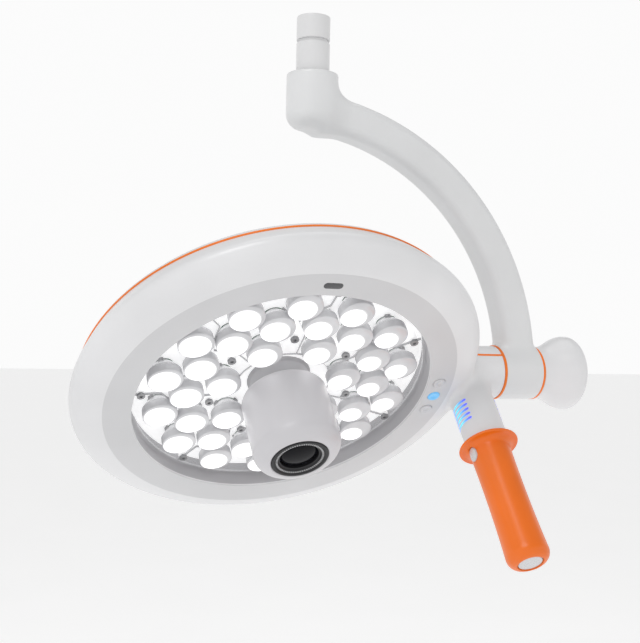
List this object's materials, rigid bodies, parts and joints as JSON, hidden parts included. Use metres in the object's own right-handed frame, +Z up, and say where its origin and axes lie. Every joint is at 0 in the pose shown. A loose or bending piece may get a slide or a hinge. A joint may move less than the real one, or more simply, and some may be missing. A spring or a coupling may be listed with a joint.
{
  "type": "dental operating light",
  "caption": "Ceiling-arm dental operating light: round tilting multi-lens head with a central camera turret and a lift-off grip sleeve on a curved yoke arm with a plain spigot.",
  "frame": {"origin": "on the swivel axis at the spigot's shoulder, where its plain wall leaves the yoke's socket", "axes": "+Z up along the spigot, +X from the swivel axis towards the tilt hub, so the light shines towards -Y and down"},
  "size_m": [0.4835, 0.2787, 0.4765],
  "materials": {
    "spigot_paint": "satin",
    "arm_paint": "satin powder coat",
    "cover_white": "satin moulded",
    "recess_grey": "matte",
    "reflector_white": "matte",
    "lens_clear": "clear moulded",
    "turret_grey": "satin",
    "camera_black": "matte",
    "camera_glass": "coated",
    "window_black": "gloss",
    "orange_seal": "satin",
    "orange_grip": "satin",
    "core_white": "satin",
    "button_grey": "satin",
    "key_blue": "backlit",
    "glow_blue": "backlit",
    "steel": "machined",
    "bronze": "machined",
    "heat_sink_metal": "as cast",
    "circuit_board": "solder mask",
    "led_phosphor": "phosphor"
  },
  "bodies": {
    "spigot": {"spigot_pin": "spigot_paint", "stop_pin": "steel"},
    "arm": {"arm_casting": "arm_paint", "upper_bush": "bronze", "lower_bush": "bronze", "retaining_screw": "steel", "hub_bush_left": "bronze", "hub_bush_right": "bronze", "seal_ring_left": "orange_seal", "seal_ring_right": "orange_seal"},
    "head": {"front_housing": "cover_white", "rear_cover": "cover_white", "seam_gasket": "orange_seal", "cover_screws": "steel", "recess_wall": "recess_grey", "reflector_plate": "reflector_white", "lens_segment_1": "lens_clear", "lens_segment_2": "lens_clear", "lens_segment_3": "lens_clear", "lens_segment_4": "lens_clear", "lens_segment_5": "lens_clear", "lens_segment_6": "lens_clear", "lens_segment_7": "lens_clear", "lens_screws": "steel", "led_boards": "circuit_board", "led_chips": "led_phosphor", "heat_sink": "heat_sink_metal", "driver_board": "circuit_board", "turret_base": "turret_grey", "turret_shell": "turret_grey", "lens_bezel": "camera_black", "lens_barrel": "camera_black", "front_element": "camera_glass", "rear_element": "camera_glass", "image_sensor_board": "circuit_board", "sensor_window": "window_black", "key_board": "circuit_board", "tilt_shaft": "steel", "neck_bracket": "heat_sink_metal", "thrust_washer": "bronze", "disc_springs": "steel", "tilt_nut": "steel", "bell_cap": "cover_white", "handle_core": "core_white", "light_guide_left": "glow_blue", "light_guide_right": "glow_blue", "glow_board": "circuit_board"},
    "sleeve": {"grip_sleeve": "orange_grip"},
    "release": {"release_button": "button_grey"},
    "end_key": {"end_button": "button_grey"},
    "plus_key": {"key_plus": "button_grey"},
    "light_key": {"key_light": "key_blue"},
    "minus_key": {"key_minus": "button_grey"}
  },
  "joints": [
    {"name": "swivel", "type": "hinge", "parent": "spigot", "child": "arm", "pos_m": [0, 0, 0], "axis": [0, 0, 1], "range_deg": [-160, 160]},
    {"name": "tilt", "type": "hinge", "parent": "arm", "child": "head", "pos_m": [0.21, 0, -0.264], "axis": [1, 0, 0], "range_deg": [-54, 101]},
    {"name": "sleeve_off", "type": "slide", "parent": "head", "child": "sleeve", "axis": [-0.0401, -0.6608, -0.7495], "range_m": [0, 0.125]},
    {"name": "release_press", "type": "slide", "parent": "sleeve", "child": "release", "axis": [0.9992, -0.0265, -0.0301], "range_m": [0, 0.0012], "stiffness_N_per_m": 800, "springref_m": -0.001},
    {"name": "end_press", "type": "slide", "parent": "head", "child": "end_key", "axis": [0.0401, 0.6608, 0.7495], "range_m": [0, 0.0015], "stiffness_N_per_m": 600, "springref_m": -0.001},
    {"name": "plus_press", "type": "slide", "parent": "head", "child": "plus_key", "axis": [0, 0.6613, 0.7501], "range_m": [0, 0.0008], "stiffness_N_per_m": 800, "springref_m": -0.001},
    {"name": "light_press", "type": "slide", "parent": "head", "child": "light_key", "axis": [0, 0.6613, 0.7501], "range_m": [0, 0.0008], "stiffness_N_per_m": 800, "springref_m": -0.001},
    {"name": "minus_press", "type": "slide", "parent": "head", "child": "minus_key", "axis": [0, 0.6613, 0.7501], "range_m": [0, 0.0008], "stiffness_N_per_m": 800, "springref_m": -0.001}
  ]
}
